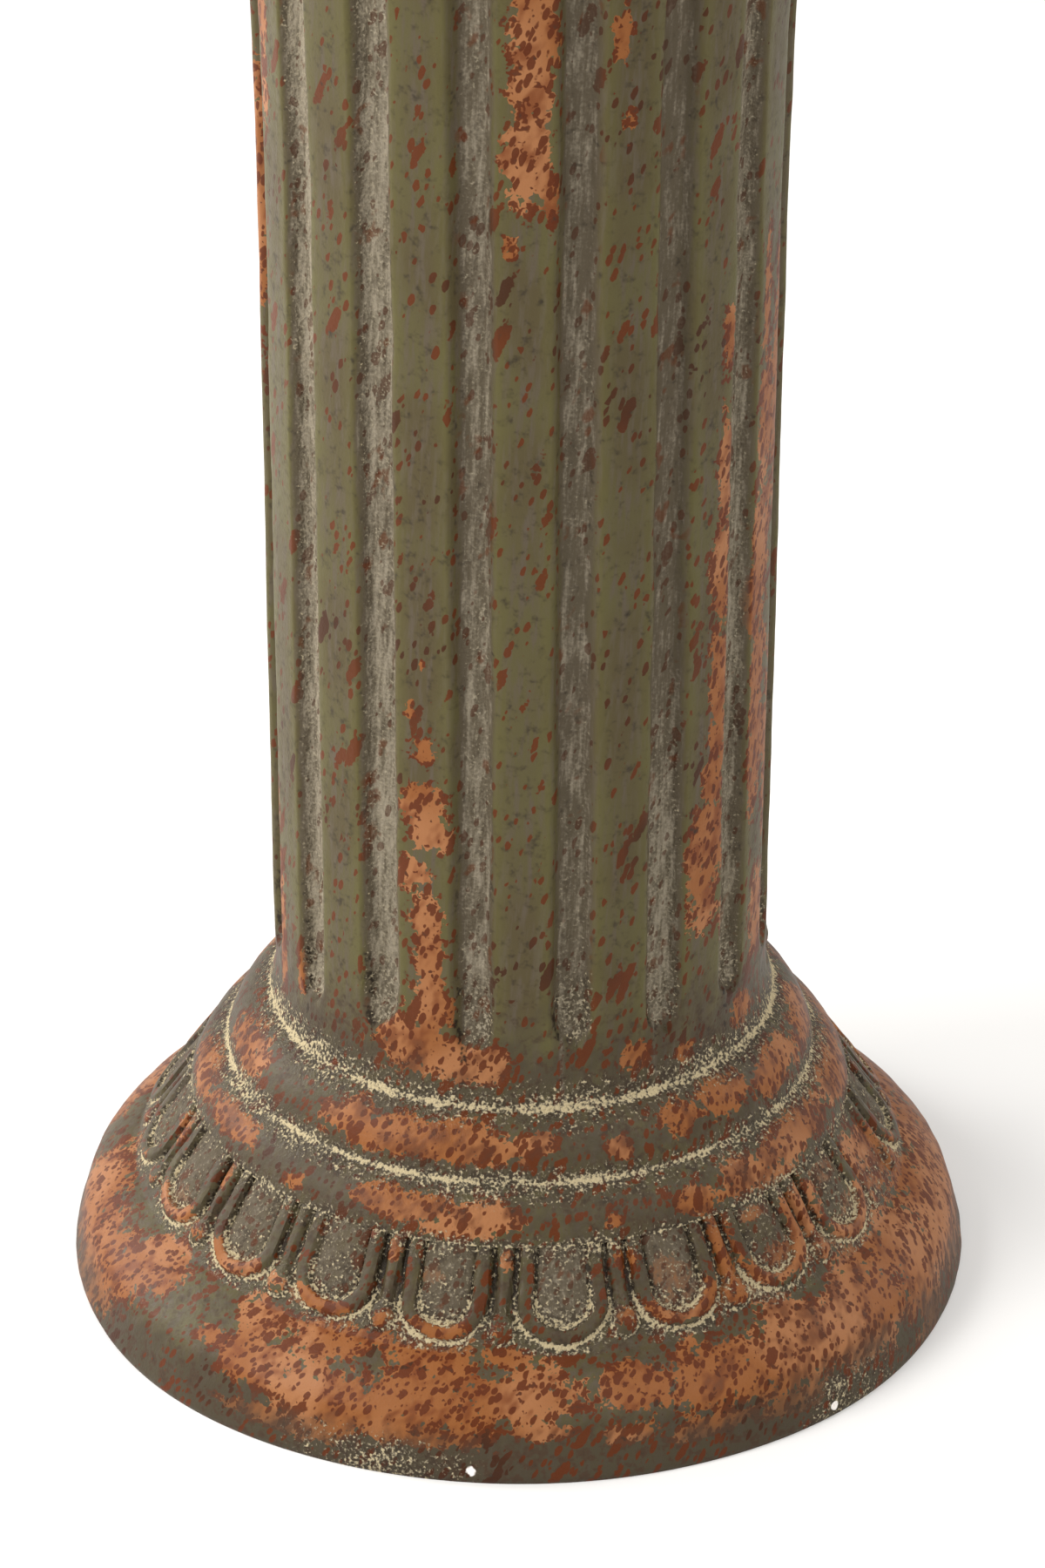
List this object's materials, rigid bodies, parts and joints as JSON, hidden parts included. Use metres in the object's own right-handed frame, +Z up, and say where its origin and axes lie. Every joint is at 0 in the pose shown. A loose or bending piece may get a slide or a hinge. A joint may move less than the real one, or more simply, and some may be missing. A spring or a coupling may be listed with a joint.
{
  "type": "garden pedestal",
  "caption": "Round fluted garden pedestal with a moulded egg-and-dart base and a plain round capital with a flat top, cast in one piece with a weathered painted finish.",
  "frame": {"origin": "centre of the flat underside", "axes": "+Z up along the column's axis; the side the picture shows faces -Y"},
  "size_m": [0.3714, 0.3714, 0.76],
  "materials": {
    "weathered_casting": "semi-matt olive paint worn through to terracotta orange, with red-brown speckles and pale crust in the hollows"
  },
  "bodies": {
    "root": {"pedestal": "weathered_casting"}
  },
  "joints": []
}
